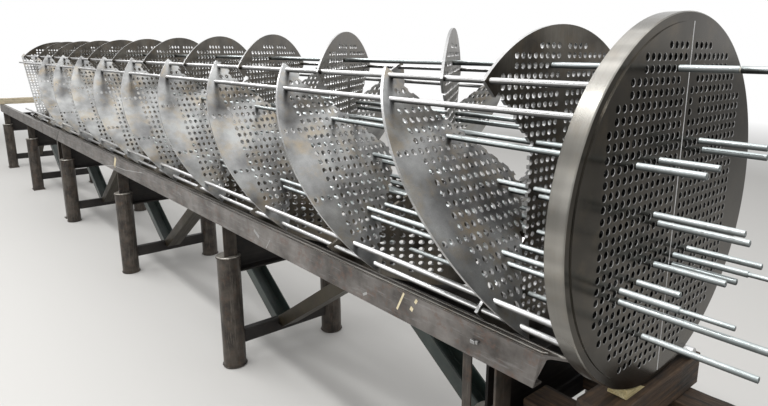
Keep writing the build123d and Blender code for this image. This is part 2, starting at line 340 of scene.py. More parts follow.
# %% The bare steels of plates and tubesheet
along_x, along_z = (0.02, 1, 1), (1, 1, 0.02)
plate_finish = steel("rolled plate steel", grey(0.16), (0.40, 0.405, 0.40), (0.36, 0.28, 0.17), 0.36,
                     lines=(1, 1, 0.06), blotch=0.14, stain_size=0.10, stain_amount=0.6,
                     line_depth=0.12, bump=0.05, metallic=0.9)
# A darker copy of the plate steel: painted shade, for the rows above and below and the end plates.
shade_darkened_plate_finish = steel("plate steel darkened for shade", (0.065, 0.057, 0.047), (0.165, 0.152, 0.130),
                          (0.15, 0.115, 0.075), 0.36, lines=(1, 1, 0.06), blotch=0.12,
                          stain_size=0.09, stain_amount=0.6, line_depth=0.15, bump=0.05, metallic=0.9)
cut_edge_finish = steel("bright cut edge", grey(0.32), grey(0.58), (0.36, 0.31, 0.25), 0.30,
                        lines=along_x, stain_amount=0.3)
plate_hole_finish = steel("drilled plate hole", grey(0.08), grey(0.62), (0.12, 0.10, 0.07), 0.30,
                          lines=along_x, blotch=0.02, stain_amount=0.6)
sheet_finish = steel("faced tubesheet steel", (0.042, 0.037, 0.030), (0.088, 0.080, 0.067),
                     (0.12, 0.098, 0.070), 0.17, line_size=0.0012, turned=True, blotch=0.3,
                     stain_size=0.06, line_depth=0.18, bump=0.02)
hole_finish = steel("drilled hole wall", grey(0.22), grey(0.72), (0.16, 0.13, 0.10), 0.22,
                    lines=along_z, blotch=0.02)
# The rim's bands are a painted reflection: lighter and darker sectors round its circumference.
rim_finish = steel("turned rim steel", (0.155, 0.147, 0.130), (0.37, 0.358, 0.33), (0.22, 0.18, 0.135),
                   0.24, lines=(1, 0.004, 0.004), line_size=0.004, blotch=0.5, stain_size=0.05,
                   stain_amount=0.3, line_depth=0.06, painted_reflection_bands=0.16)

# %% The bare steels of rods, tubes and nuts
# Painted shade for the bars: the colour is darkened on the underside and kept on top.
bar_underside_shade = [(0.0, 0.12), (0.32, 0.22), (0.55, 0.55), (0.80, 0.95), (1.0, 1.0)]
rod_finish = steel("bright drawn bar", grey(0.50), grey(0.76), (0.30, 0.27, 0.22), 0.30,
                   lines=along_x, blotch=0.4, stain_amount=0.35, line_depth=0.10, painted_shade_stops=bar_underside_shade)
tube_finish = steel("drawn tube steel", (0.38, 0.42, 0.42), (0.58, 0.62, 0.62), (0.22, 0.21, 0.18),
                    0.34, lines=along_x, blotch=0.3, stain_amount=0.35, line_depth=0.05, painted_shade_stops=bar_underside_shade)
nut_finish = steel("plated nut", (0.30, 0.28, 0.24), (0.50, 0.48, 0.43), (0.22, 0.17, 0.12), 0.35)
print(len(bpy.data.materials), "bare steels")

# %% [markdown]
# ### Worn steel and wood
# The bench is old shop steel: a dull dark paint or mill scale, rubbed bright in streaks,
# with rust that starts in spots. The timbers are stained softwood. Their fibres run along
# the timber, so the noise is stretched that way, and dark cracks follow the same lines.

# %% Worn shop steel
def worn(name, dark, light, rust, scuff, streaks, roughness=0.5, rust_amount=0.5, scuff_amount=0.4,
         metallic=0.3, blotch=0.12):
    """Painted or scaled steel, rubbed along one direction, with spots of rust."""
    material, tree, shader = new_finish(name, metallic)
    wide = noise(tree, (1, 1, 1), blotch, 5.0, 0.6)
    colour = ramp(tree, wide, (0.33, dark), (0.67, light))
    rubbed = noise(tree, streaks, 0.012, 5.0, 0.7, (0, 1.7, 0))
    colour = laid_over(tree, colour, scuff, rubbed, scuff_amount, 0.54, 0.72)
    spots = noise(tree, (1, 1, 1), 0.035, 8.0, 0.72, (7.7, 0, 2.0))
    colour = laid_over(tree, colour, rust, spots, rust_amount, 0.52, 0.66)
    connect(tree, shader, colour, spread(tree, rubbed, roughness * 1.15, roughness * 0.75))
    relief(tree, shader, spots, 0.25, 0.0015)
    return material


rail_finish = worn("worn rail steel", (0.062, 0.055, 0.050), (0.215, 0.200, 0.188), (0.15, 0.085, 0.060),
                   (0.30, 0.295, 0.29), (0.10, 1, 1), 0.40, 0.6, 0.55, 0.45, 0.13)
rail_top_finish = worn("rubbed rail top", (0.05, 0.045, 0.04), (0.10, 0.09, 0.08), (0.14, 0.09, 0.06),
                       (0.55, 0.52, 0.48), (0.008, 1, 1), 0.32, 0.35, 0.9, 0.6, 0.2)
pipe_finish = worn("old pipe leg", (0.016, 0.013, 0.011), (0.075, 0.062, 0.050), (0.10, 0.055, 0.032),
                   (0.19, 0.17, 0.14), (1, 1, 0.10), 0.46, 0.45, 0.5, 0.3, 0.07)
# Near black all through, for the bolster, the cross bars and the spine.
bolster_finish = worn("sooty bolster", (0.007, 0.006, 0.006), (0.020, 0.017, 0.015), (0.04, 0.024, 0.015),
                      (0.06, 0.055, 0.05), (1, 0.05, 1), 0.55, 0.3, 0.25)
green_finish = worn("dark green paint", (0.010, 0.017, 0.015), (0.026, 0.040, 0.035), (0.06, 0.04, 0.025),
                    (0.10, 0.115, 0.10), (0.05, 1, 0.05), 0.38, 0.25, 0.3, 0.1)
olive_finish = worn("olive brown paint", (0.012, 0.009, 0.004), (0.034, 0.026, 0.012), (0.05, 0.028, 0.013),
                    (0.08, 0.065, 0.04), (0.05, 1, 0.05), 0.5, 0.3, 0.3, 0.1)
rod_strip_finish = worn("rubbed strip", (0.20, 0.19, 0.175), (0.50, 0.48, 0.45), (0.20, 0.12, 0.08),
                        (0.75, 0.73, 0.70), (0.01, 1, 1), 0.3, 0.4, 0.7, 0.85, 0.3)
cap_finish = worn("rubbed pipe end", (0.20, 0.185, 0.16), (0.42, 0.40, 0.36), (0.20, 0.12, 0.08),
                  (0.6, 0.58, 0.54), (1, 1, 1), 0.4, 0.3, 0.5, 0.6, 0.03)


# %% Wood
def wood(name, dark, light, along, stain_amount=0.6):
    """Sawn softwood with its fibres along one direction, cracked and stained."""
    material, tree, shader = new_finish(name, 0.0)
    grain = noise(tree, along, 0.016, 6.0, 0.6)
    fibre = noise(tree, along, 0.0035, 4.0, 0.65, (0, 0.4, 0))
    between = tuple((a + b) / 2 for a, b in zip(dark, light))
    dirt = tuple(0.35 * value for value in dark)
    colour = ramp(tree, grain, (0.32, dark), (0.52, between), (0.70, light))
    colour = shaded(tree, colour, fibre, (0.34, 0.35), (0.62, 1.1), amount=0.65)
    smear = noise(tree, (1, 1, 1), 0.09, 5.0, 0.6, (0, 0, 5.0))
    colour = laid_over(tree, colour, dirt, smear, stain_amount, 0.46, 0.62)
    connect(tree, shader, colour, spread(tree, fibre, 0.85, 0.62))
    relief(tree, shader, fibre, 0.5, 0.002)
    return material


fibres_x, fibres_y = (0.05, 1, 1), (1, 0.05, 1)
old_dark, old_light = (0.010, 0.007, 0.005), (0.11, 0.062, 0.030)
crib_wood_x = wood("stained timber, lengthwise", old_dark, old_light, fibres_x)
crib_wood_y = wood("stained timber, crosswise", old_dark, old_light, fibres_y)
wedge_wood = wood("pale wedge wood", (0.42, 0.33, 0.15), (0.74, 0.66, 0.40), fibres_y, 0.15)
loose_wood = wood("pale loose timber", (0.40, 0.33, 0.22), (0.66, 0.58, 0.42), fibres_y, 0.25)
print(len(bpy.data.materials), "finishes in all")

# %% [markdown]
# ## Perforated plates with Geometry Nodes
# The plates are the heart of the bundle: over forty of them, with 160 to 190 tube holes
# each, on one square lattice that every tube must pass. Holes cut one by one with
# booleans would be slow and ragged. Here the outline and the holes are curves in one flat
# drawing, and Fill Curve triangulates the metal between them in one go. Where a hole
# crosses the outline, the filled sliver outside it is found by a ray cast at the plain
# outline and deleted, which leaves the scalloped edge of the real plates. The drawing is
# then extruded and leaned, and copies are set one lead apart.
#
# The real plates stand at a slant but are drilled along the axis, so leaning is a shear
# and not a turn: the holes keep pointing along X.

# %% Starting, ending and running a tree
def new_tree(name, inputs):
    """A geometry node tree with named inputs. Returns it with its input sockets."""
    tree = bpy.data.node_groups.new(name, "GeometryNodeTree")
    for label, kind in inputs:
        tree.interface.new_socket(label, in_out="INPUT", socket_type="NodeSocket" + kind)
    tree.interface.new_socket("Geometry", in_out="OUTPUT", socket_type="NodeSocketGeometry")
    return tree, add_node(tree, "NodeGroupInput").outputs


def end_tree(tree, shape):
    """Gives a tree the shape that it puts out."""
    add_node(tree, "NodeGroupOutput", {0: shape})
    print(f"tree for {tree.name}: {len(tree.nodes)} nodes")


def run_tree(name, start, tree, inputs):
    """Runs a tree on a starting mesh and keeps the result as a plain mesh object."""
    obj = new_object(name, start)
    modifier = obj.modifiers.new("nodes", "NODES")
    modifier.node_group = tree
    for item in tree.interface.items_tree:
        if item.in_out == "INPUT" and item.name in inputs:
            modifier[item.identifier] = inputs[item.name]
    graph = bpy.context.evaluated_depsgraph_get()
    made = bpy.data.meshes.new_from_object(obj.evaluated_get(graph), depsgraph=graph)
    obj.modifiers.remove(modifier)
    obj.data = made
    made.name = name
    return obj


# %% [markdown]
# The three trees below share a handful of steps: draw a circle, fill a drawing, extrude
# it, set copies on points, join and weld, read a stored value, and give a finish. Each
# step is a short function. Copies are turned into real faces at once, because an export
# drops instances.

# %% Steps that the trees share
def circle_curve(tree, sides, radius):
    """A circle drawn with a number of sides."""
    return result(tree, "GeometryNodeCurvePrimitiveCircle", {"Resolution": sides, "Radius": radius},
                  mode="RADIUS")


def filled(tree, drawing, mode="TRIANGLES"):
    """The flat metal inside a drawing, with the holes in it left open."""
    return result(tree, "GeometryNodeFillCurve", {"Curve": drawing}, mode=mode)


def extruded(tree, mesh, direction, distance, selection=True):
    """The node that extrudes the chosen faces together along a direction."""
    return add_node(tree, "GeometryNodeExtrudeMesh", {
        "Mesh": mesh, "Selection": selection, "Offset": direction, "Offset Scale": distance,
        "Individual": False})


def copies_on(tree, points, shape, **inputs):
    """A copy of a shape on each point, as real faces."""
    copies = result(tree, "GeometryNodeInstanceOnPoints", {"Points": points, "Instance": shape, **inputs})
    return result(tree, "GeometryNodeRealizeInstances", {"Geometry": copies})


def joined(tree, *shapes):
    """Several shapes as one."""
    return result(tree, "GeometryNodeJoinGeometry", {"Geometry": list(shapes)})


def closed_with(tree, shape, start):
    """An extruded shape closed by the faces that it started from, turned over."""
    back = result(tree, "GeometryNodeFlipFaces", {"Mesh": start})
    return result(tree, "GeometryNodeMergeByDistance",
                  {"Geometry": joined(tree, shape, back), "Distance": weld_distance})


def logic(tree, operation, first, second=False):
    """True or false, from one or two others."""
    return result(tree, "FunctionNodeBooleanMath", {0: first, 1: second}, operation=operation)


def marked(tree, shape, name, value):
    """Stores on each face whether something is true of it."""
    return result(tree, "GeometryNodeStoreNamedAttribute",
                  {"Geometry": shape, "Name": name, "Value": value}, data_type="BOOLEAN", domain="FACE")


def stored(tree, name, kind):
    """The value that a mesh stores under a name."""
    return result(tree, "GeometryNodeInputNamedAttribute", {"Name": name}, data_type=kind)


def given_finish(tree, shape, finish, where=True):
    """A shape with a finish on the chosen faces."""
    return result(tree, "GeometryNodeSetMaterial",
                  {"Geometry": shape, "Selection": where, "Material": finish})


# %% The plate tree: fill the drawing and trim it at the outline
plate_tree, into = new_tree("perforated plate", [
    ("Outline", "Geometry"), ("Sites", "Object"), ("Hole sides", "Int"), ("Thickness", "Float"),
    ("Chamfer", "Float"), ("Lean", "Vector"), ("First", "Vector"), ("Lead", "Float"),
    ("Count", "Int"), ("Face finish", "Material"), ("Edge finish", "Material"),
    ("Hole finish", "Material")])
outline = result(plate_tree, "GeometryNodeMeshToCurve", {"Mesh": into["Outline"]})
sites = result(plate_tree, "GeometryNodeObjectInfo", {"Object": into["Sites"]}, "Geometry")
circle = circle_curve(plate_tree, into["Hole sides"], 1.0)
rings = copies_on(plate_tree, sites, circle, Scale=stored(plate_tree, "radius", "FLOAT"))
sheet = filled(plate_tree, joined(plate_tree, outline, rings))

where = result(plate_tree, "GeometryNodeInputPosition")
above = calculate_vector(plate_tree, "ADD", {0: where, 1: (0, 0, 1)})
inside = result(plate_tree, "GeometryNodeRaycast", {
    "Target Geometry": filled(plate_tree, outline), "Source Position": above,
    "Ray Direction": (0, 0, -1), "Ray Length": 2.0}, "Is Hit")
sheet = result(plate_tree, "GeometryNodeDeleteGeometry",
               {"Geometry": sheet, "Selection": logic(plate_tree, "NOT", inside)}, domain="FACE")

# %% The plate tree: extrude the metal in two steps and open a chamfer at each hole
upward = result(plate_tree, "ShaderNodeCombineXYZ", {"Z": 1.0})
body = calculate(plate_tree, "SUBTRACT", into["Thickness"], into["Chamfer"])
wall = extruded(plate_tree, sheet, upward, body).outputs
lip = extruded(plate_tree, wall["Mesh"], upward, into["Chamfer"], wall["Top"]).outputs
cut = logic(plate_tree, "OR", wall["Side"], lip["Side"])

flat = calculate_vector(plate_tree, "MULTIPLY", {0: where, 1: (1, 1, 0)})
nearest = add_node(plate_tree, "GeometryNodeProximity", {"Geometry": sites, "Sample Position": flat},
                   target_element="POINTS").outputs
outwards = calculate_vector(plate_tree, "SUBTRACT", {0: flat, 1: nearest["Position"]})
outwards = calculate_vector(plate_tree, "NORMALIZE", {0: outwards})
outwards = calculate_vector(plate_tree, "SCALE", {0: outwards, "Scale": into["Chamfer"]})
at_hole = result(plate_tree, "FunctionNodeCompare", {0: nearest["Distance"], 1: hole_radius * 1.02},
                 operation="LESS_THAN")

plate = marked(plate_tree, lip["Mesh"], "cut", cut)
plate = marked(plate_tree, plate, "hole", logic(plate_tree, "AND", at_hole, cut))
plate = result(plate_tree, "GeometryNodeSetPosition", {
    "Geometry": plate, "Selection": logic(plate_tree, "AND", at_hole, lip["Top"]), "Offset": outwards})
plate = closed_with(plate_tree, plate, sheet)

# %% The plate tree: stand the plate up and lean it
leaning = calculate_vector(plate_tree, "DOT_PRODUCT", {0: into["Lean"], 1: where}, "Value")
parts = add_node(plate_tree, "ShaderNodeSeparateXYZ", {0: where}).outputs
half = calculate(plate_tree, "MULTIPLY", into["Thickness"], 0.5)
shift = calculate(plate_tree, "ADD", leaning, half)
depth = calculate(plate_tree, "SUBTRACT", parts["Z"], shift)
stood = result(plate_tree, "ShaderNodeCombineXYZ", {"X": depth, "Y": parts["X"], "Z": parts["Y"]})
placed = calculate_vector(plate_tree, "ADD", {0: stood, 1: into["First"]})
plate = result(plate_tree, "GeometryNodeSetPosition", {"Geometry": plate, "Position": placed})

# %% The plate tree: repeat the plate and give it its finishes
backwards = calculate(plate_tree, "MULTIPLY", into["Lead"], -1.0)
step = result(plate_tree, "ShaderNodeCombineXYZ", {"X": backwards})
row = result(plate_tree, "GeometryNodeMeshLine", {"Count": into["Count"], "Offset": step})
plates = copies_on(plate_tree, row, plate)
bend = result(plate_tree, "GeometryNodeInputMeshEdgeAngle", pick="Unsigned Angle")
sharp = result(plate_tree, "FunctionNodeCompare", {0: bend, 1: plate_sharp_angle}, operation="GREATER_THAN")
plates = result(plate_tree, "GeometryNodeSetShadeSmooth",
                {"Geometry": plates, "Selection": sharp, "Shade Smooth": False}, domain="EDGE")
plates = given_finish(plate_tree, plates, into["Face finish"])
plates = given_finish(plate_tree, plates, into["Edge finish"], stored(plate_tree, "cut", "BOOLEAN"))
plates = given_finish(plate_tree, plates, into["Hole finish"], stored(plate_tree, "hole", "BOOLEAN"))
end_tree(plate_tree, plates)

# %% [markdown]
# ## The lattice of holes
# The holes stand on a square lattice with a wider lane down the middle, and the rows get
# shorter towards the top and the bottom. A few places in the tubesheet are left
# undrilled. The side plates also have three more holes at the ends of two rows, which run
# out through the margin to the rim.

# %% Hole sites
row_lengths = {15: 4, 14: 8, 13: 8, 12: 10, 11: 10, 10: 12, 9: 12}
full_row = {-1: 13, 1: 12}                            # near side, far side
undrilled = [(1, 12), (-1, 12), (2, 10), (2, 9)]      # column and row, in the tubesheet only
rim_rows, rim_columns = (-4, 4), (14, 15, 16)


def site(column, row):
    """Centre of a tube hole, across and up from the axis."""
    side = 1 if column > 0 else -1
    return side * (centre_lane / 2 + (abs(column) - 1) * pitch), row * pitch


lattice = [(column * side, row) for row in range(-15, 16) for side in (-1, 1)
           for column in range(1, row_lengths.get(abs(row), full_row[side]) + 1)]
sheet_sites = [site(*place) for place in lattice if place not in undrilled]
plate_sites = [site(*place) for place in lattice]
rim_sites = [site(column * side, row) for row in rim_rows for side in (-1, 1) for column in rim_columns]
print(len(sheet_sites), "tube holes in the tubesheet")


def sites_object(places):
    """Points with the radius of each hole, for a tree to read."""
    mesh = bpy.data.meshes.new("sites")
    mesh.from_pydata([(y, z, 0) for y, z, _ in places], [], [])
    values = mesh.attributes.new("radius", "FLOAT", "POINT")
    values.data.foreach_set("value", [radius for _, _, radius in places])
    return new_object("sites", mesh)


def outline_mesh(points):
    """A closed outline as a loop of edges."""
    mesh = bpy.data.meshes.new("outline")
    count = len(points)
    mesh.from_pydata([(y, z, 0) for y, z in points], [(i, (i + 1) % count) for i in range(count)], [])
    return mesh


# %% [markdown]
# ## Outlines
# A quarter plate is a slice of the circle between two diagonals. On each diagonal it
# carries an ear, which reaches past the line to hold the corner rod. The plate of the
# next quarter, half a lead away, has its own ear on the same rod. The end plates are
# upright: the same slices above and below, with an open window at either side.

# %% Sizes of the outlines
ear_margin, ear_length = 0.009, 0.082
ear_half = rod_radius + ear_margin
ear_start = corner_distance - ear_length / 2
edge_gap = 0.0005
apex_setback = 0.020
trim_margin = 0.006            # from the straight side of the last near plates to the rod
trim_reach = side_across - rod_radius - trim_margin
window_clearance = 0.003
window = (end_setback - (plate_along + end_thickness) / 2) / slope - window_clearance
rim_steps, trimmed_steps = 40, 4


# %% Outlines of the plates
def by_diagonal(along, off):
    """A point given along the diagonal and off it, as (outwards, sideways)."""
    return (along - off) / sqrt(2), (along + off) / sqrt(2)


def flank(inner, gap):
    """From an inner point out along the diagonal and round the ear, to the rim."""
    rim_along = sqrt(plate_radius**2 - ear_half**2)
    return [inner, by_diagonal(ear_start, -gap), by_diagonal(ear_start, ear_half),
            by_diagonal(rim_along, ear_half)]


def arc(start, end, steps):
    """Points of the rim between two angles, the ends left out."""
    return [(plate_radius * cos(start + (end - start) * i / steps),
             plate_radius * sin(start + (end - start) * i / steps)) for i in range(1, steps)]


def slice_outline(inner, gap, chord=None):
    """A quarter from its inner point out, round the rim and back, about its own middle."""
    out = flank(inner, gap)
    first = atan2(out[-1][1], out[-1][0])
    if chord:
        corner = acos(chord / plate_radius)
        ends = [(chord, plate_radius * sin(corner)), (chord, -plate_radius * sin(corner))]
        rim = arc(first, corner, trimmed_steps) + ends + arc(-corner, -first, trimmed_steps)
    else:
        rim = arc(first, -first, rim_steps)
    return out + rim + [(u, -v) for u, v in reversed(out)]


def turned(points, angle):
    """(outwards, sideways) points turned so that outwards points that way in the section."""
    return [(u * cos(angle) - v * sin(angle), u * sin(angle) + v * cos(angle)) for u, v in points]


apex = (apex_setback, apex_setback - edge_gap * sqrt(2))
whole_slice = slice_outline(apex, edge_gap)
trimmed_slice = slice_outline(apex, edge_gap, chord=trim_reach)
end_slice = slice_outline((window, window), 0.0)
end_outline = turned(end_slice, pi / 2) + turned(end_slice, -pi / 2)
print(len(whole_slice), "points round a quarter plate")


# %% One run of the plate tree
def drilled(name, points, holes, sides, thickness, behind, finishes, lean=(0, 0, 0), lead=1.0, count=1,
            chamfer=0.0):
    """Plates with an outline and holes, the first a distance behind the tubesheet's face."""
    places = sites_object(holes)
    plates = run_tree(name + "_drilled", outline_mesh(points), plate_tree, {
        "Sites": places, "Hole sides": sides, "Thickness": thickness, "Chamfer": chamfer,
        "Lean": lean, "First": (face_x - behind, 0.0, axis_height), "Lead": lead, "Count": count,
        "Face finish": finishes[0], "Edge finish": finishes[1], "Hole finish": finishes[2]})
    bpy.data.objects.remove(places)
    return plates


# %% [markdown]
# ## The double helix
# Each row of plates is one run of the tree for every three plates, so that each piece
# stands for one CAD node. The lean is towards the tubesheet below on the near side,
# and the other way on the far side, and so the four rows wind round the axis. The rows
# above and below get a darker copy of the plate steel, and below the cut edges are
# dark too: both are painted shade.

# %% What differs between the four rows
middle_out = {"near": pi, "far": 0.0, "top": pi / 2, "bottom": -pi / 2}
leans = {"near": (0, slope, 0), "far": (0, -slope, 0), "top": (slope, 0, 0), "bottom": (-slope, 0, 0)}
clean_finishes = (plate_finish, cut_edge_finish, plate_hole_finish)
# The darker copies are painted shade: the plates above and below, and the cut edges below.
shade_darkened_finishes = (shade_darkened_plate_finish, cut_edge_finish, plate_hole_finish)
shaded_finishes = (shade_darkened_plate_finish, shade_darkened_plate_finish, plate_hole_finish)
row_finishes = {"near": clean_finishes, "far": clean_finishes, "top": shade_darkened_finishes,
                "bottom": shaded_finishes}
hole_sides = {1: 14, 2: 12, 3: 10, 4: 10}      # by the node's number, fewer further back
trimmed_node = 4                               # its near plates are cut straight at the side
margin_for_edge = hole_radius * sqrt(2)


# %% Four rows of slanted plates
def holes_in_slice(angle, side_row):
    """The holes that a quarter plate has, the ones that its edge cuts through too."""
    found = []
    tube_places = plate_sites + (rim_sites if side_row else [])
    for places, radius in ((tube_places, hole_radius), (corner_sites + side_sites, rod_hole_radius)):
        for y, z in places:
            u = y * cos(angle) + z * sin(angle)
            v = abs(z * cos(angle) - y * sin(angle))
            if u > 0 and v < u + margin_for_edge or (y, z) in corner_sites and u > 0:
                found.append((y, z, radius))
    return found


def plate_row(row, count, first):
    """A row of slanted plates, one piece for each CAD node."""
    angle = middle_out[row]
    holes = holes_in_slice(angle, row in ("near", "far"))
    for start in range(0, count, plates_per_node):
        number = start // plates_per_node + 1
        node = f"{row}_plates_{number}"
        points = trimmed_slice if row == "near" and number == trimmed_node else whole_slice
        plates = drilled(node, turned(points, angle), holes, hole_sides[number], plate_along,
                         first + start * plate_lead, row_finishes[row], lean=leans[row],
                         lead=plate_lead, count=min(plates_per_node, count - start))
        keep(plates, "plate_steel", node)


half_way = first_plate + plate_lead / 2
plate_row("near", plate_rows, first_plate)
plate_row("far", plate_rows, first_plate)
plate_row("top", plate_rows - 1, half_way)
plate_row("bottom", plate_rows - 1, half_way)

# %% The two upright end plates
end_holes = [(y, z, hole_radius) for y, z in plate_sites
             if abs(y) < window + hole_radius or abs(z) > abs(y) - margin_for_edge]
end_holes += [(y, z, rod_hole_radius) for y, z in corner_sites]
for node, behind in (("first_end_plate", first_end), ("last_end_plate", last_end)):
    keep(drilled(node, end_outline, end_holes, 12, end_thickness, behind, shade_darkened_finishes),
         "plate_steel", node)

# %% [markdown]
# ## Tubesheet
# The tubesheet is a forging, turned all over: a raised face for the gasket, a step down
# at its edge, and a bright rim. The same tree drills its raised part, with a small
# chamfer at every hole. The rim is turned round it from a profile, and the two are
# welded at the shared circle, so that the disc is one closed skin. A plain box then cuts
# the upright groove in which the channel's partition will sit.

# %% Drill the raised part
rim_width, face_step, hole_chamfer = 0.022, 0.003, 0.0006
face_radius = sheet_radius - rim_width
round_steps = 160
disc = drilled("tubesheet", round_points(face_radius, round_steps),
               [(y, z, hole_radius) for y, z in sheet_sites], 18, sheet_thickness,
               sheet_thickness / 2, (sheet_finish, hole_finish, hole_finish), chamfer=hole_chamfer)


# %% Turn the rim round it and weld the two
def lathe(mesh, profile, materials):
    """Adds the surface that a profile of (x, radius) points sweeps about the bundle's axis."""
    rings = [[mesh.verts.new((x, y, axis_height + z)) for y, z in round_points(radius, round_steps)]
             for x, radius in profile]
    for lower, upper, material in zip(rings, rings[1:], materials):
        for i in range(round_steps):
            j = (i + 1) % round_steps
            face = mesh.faces.new((lower[i], upper[i], upper[j], lower[j]))
            face.material_index = material
            face.smooth = True


disc.data.materials.append(rim_finish)
rim_slot = disc.data.materials.find(rim_finish.name)
face_slot = disc.data.materials.find(sheet_finish.name)
disc_mesh = bmesh.new()
disc_mesh.from_mesh(disc.data)
outer_wall = [face for face in disc_mesh.faces
              if all(abs(Vector((v.co.y, v.co.z - axis_height)).length - face_radius) < 0.0001
                     for v in face.verts)]
bmesh.ops.delete(disc_mesh, geom=outer_wall, context="FACES")
back_x = face_x - sheet_thickness
ease = 0.0025                  # the turned rim's corners are broken this much
rim_profile = [(face_x, face_radius), (face_x - face_step, face_radius),
               (face_x - face_step, sheet_radius - ease), (face_x - face_step - ease, sheet_radius),
               (back_x + ease, sheet_radius), (back_x, sheet_radius - ease), (back_x, face_radius)]
lathe(disc_mesh, rim_profile, [rim_slot, face_slot, rim_slot, rim_slot, rim_slot, face_slot])
bmesh.ops.remove_doubles(disc_mesh, verts=disc_mesh.verts, dist=weld_distance)
bmesh.ops.recalc_face_normals(disc_mesh, faces=disc_mesh.faces)
print("open edges left in the tubesheet:", sum(not edge.is_manifold for edge in disc_mesh.edges))
for edge in disc_mesh.edges:
    edge.smooth = edge.calc_face_angle(0.0) < sharp_angle
disc_mesh.to_mesh(disc.data)
disc_mesh.free()

# %% Cut the partition groove
groove_width, groove_depth = 0.004, 0.0015
bpy.ops.mesh.primitive_cube_add(size=1)
cutter = bpy.context.object
cutter.scale = (2 * groove_depth, groove_width, 2.2 * sheet_radius)
cutter.location = (face_x, 0, axis_height)
groove = disc.modifiers.new("groove", "BOOLEAN")
groove.object = cutter
groove.operation = "DIFFERENCE"
graph = bpy.context.evaluated_depsgraph_get()
disc.data = bpy.data.meshes.new_from_object(disc.evaluated_get(graph), depsgraph=graph)
disc.modifiers.clear()
bpy.data.objects.remove(cutter)
keep(disc, "tubesheet_steel", "tubesheet")

# %% [markdown]
# ## Rods and tubes
# Eight bright tie rods hold the plates, and fifteen tubes are in place so far. All are
# bars along X that differ only in place and length. A second tree makes them: a ring on
# each point is filled and extruded by the point's own length. The height of each point
# on its bar is stored, and the finish darkens the underside by it as painted shade. A
# live Bevel modifier breaks the sharp ends.

# %% The tree for bars
bar_tree, into = new_tree("bars along X", [
    ("Points", "Geometry"), ("Radius", "Float"), ("Bore", "Float"), ("Hollow", "Bool"), ("Sides", "Int"),
    ("Finish", "Material")])
outer = circle_curve(bar_tree, into["Sides"], into["Radius"])
inner = circle_curve(bar_tree, into["Sides"], into["Bore"])
section = result(bar_tree, "GeometryNodeSwitch", {
    "Switch": into["Hollow"], "False": outer, "True": joined(bar_tree, outer, inner)},
    input_type="GEOMETRY")
facing = result(bar_tree, "FunctionNodeInputRotation", rotation_euler=(pi / 2, 0, pi / 2))
ends = copies_on(bar_tree, into["Points"], filled(bar_tree, section, "NGONS"), Rotation=facing)
forwards = result(bar_tree, "ShaderNodeCombineXYZ", {"X": 1.0})
bars = extruded(bar_tree, ends, forwards, stored(bar_tree, "length", "FLOAT")).outputs["Mesh"]
bars = closed_with(bar_tree, bars, ends)
bars = result(bar_tree, "GeometryNodeSetShadeSmooth", {"Geometry": bars}, domain="FACE")
end_tree(bar_tree, given_finish(bar_tree, bars, into["Finish"]))


# %% Bars along X
def bars_along_x(name, spans, radius, finish, bore=None, sides=24):
    """Round bars or tubes along X, each given as (y, z, back, front) from the axis."""
    mesh = bpy.data.meshes.new(name)
    mesh.from_pydata([(back, y, axis_height + z) for y, z, back, _ in spans], [], [])
    lengths = mesh.attributes.new("length", "FLOAT", "POINT")
    lengths.data.foreach_set("value", [front - back for _, _, back, front in spans])
    bars = run_tree(name, mesh, bar_tree, {
        "Radius": radius, "Bore": bore or radius / 2, "Hollow": bool(bore), "Sides": sides,
        "Finish": finish})
    # How high each point lies on its bar, which the finish reads for painted shade underneath.
    height = bars.data.attributes.new("height", "FLOAT", "POINT")
    for vertex, value in zip(bars.data.vertices, height.data):
        y, z = vertex.co.y, vertex.co.z - axis_height
        centre = min(spans, key=lambda span: (y - span[0])**2 + (z - span[1])**2)
        value.value = (z - centre[1]) / radius
    break_edges(bars, 0.0006, 50)
    return bars


# %% Tie rods
for node, places in (("corner_tie_rods", corner_sites), ("side_tie_rods", side_sites)):
    spans = [(y, z, rod_low.x, rod_high.x) for y, z in places]
    keep(bars_along_x(node + "_bright", spans, rod_radius, rod_finish), "rod_steel", node)

# %% Tubes in place, by column and row, with their reach in front of the face
reaches = {
    "upper_tubes": {(-2, 13): 0.125, (4, 6): 0.151, (5, 5): 0.145, (-4, 5): 0.128},
    "middle_tubes": {(-8, 5): 0.143, (-4, 0): 0.193, (1, -5): 0.171, (4, -5): 0.174, (-3, -1): 0.196},
    "lower_tubes": {(-9, -6): 0.132, (-9, -7): 0.300, (-4, -12): 0.256, (-6, -6): 0.098,
                    (-3, -5): 0.160, (1, -6): 0.149},
}
for node, places in reaches.items():
    spans = [(*site(*place), tube_back, face_x + reach) for place, reach in places.items()]
    tubes = bars_along_x(node + "_drawn", spans, tube_radius, tube_finish, bore=tube_bore)
    keep(tubes, "tube_steel", node)

# %% [markdown]
# Two of the tubes still carry the thinner rod that guides them through the plates, and
# one has a short extension pushed on its end, with a dark joint between the two.

# %% Guide rods and the pushed-on extension
guide_radius, guide_inside = 0.0058, 0.020
guide_reaches = {(-9, -6): 0.238, (1, -5): 0.285}
spans = [(*site(*place), face_x + guide_inside, face_x + reach) for place, reach in guide_reaches.items()]
keep(bars_along_x("tube_guide_rods", spans, guide_radius, tube_finish, sides=16), "tube_steel")

extended, extension_reach, joint_gap, plug_half = (-2, 13), 0.262, 0.003, 0.025
tube_end = face_x + reaches["upper_tubes"][extended]
spans = [(*site(*extended), tube_end + joint_gap, face_x + extension_reach)]
keep(bars_along_x("tube_extension", spans, tube_radius, tube_finish, bore=tube_bore, sides=20),
     "tube_steel")
spans = [(*site(*extended), tube_end - plug_half, tube_end + plug_half)]
keep(bars_along_x("extension_plug", spans, tube_bore, nut_finish, sides=16), "tube_steel")

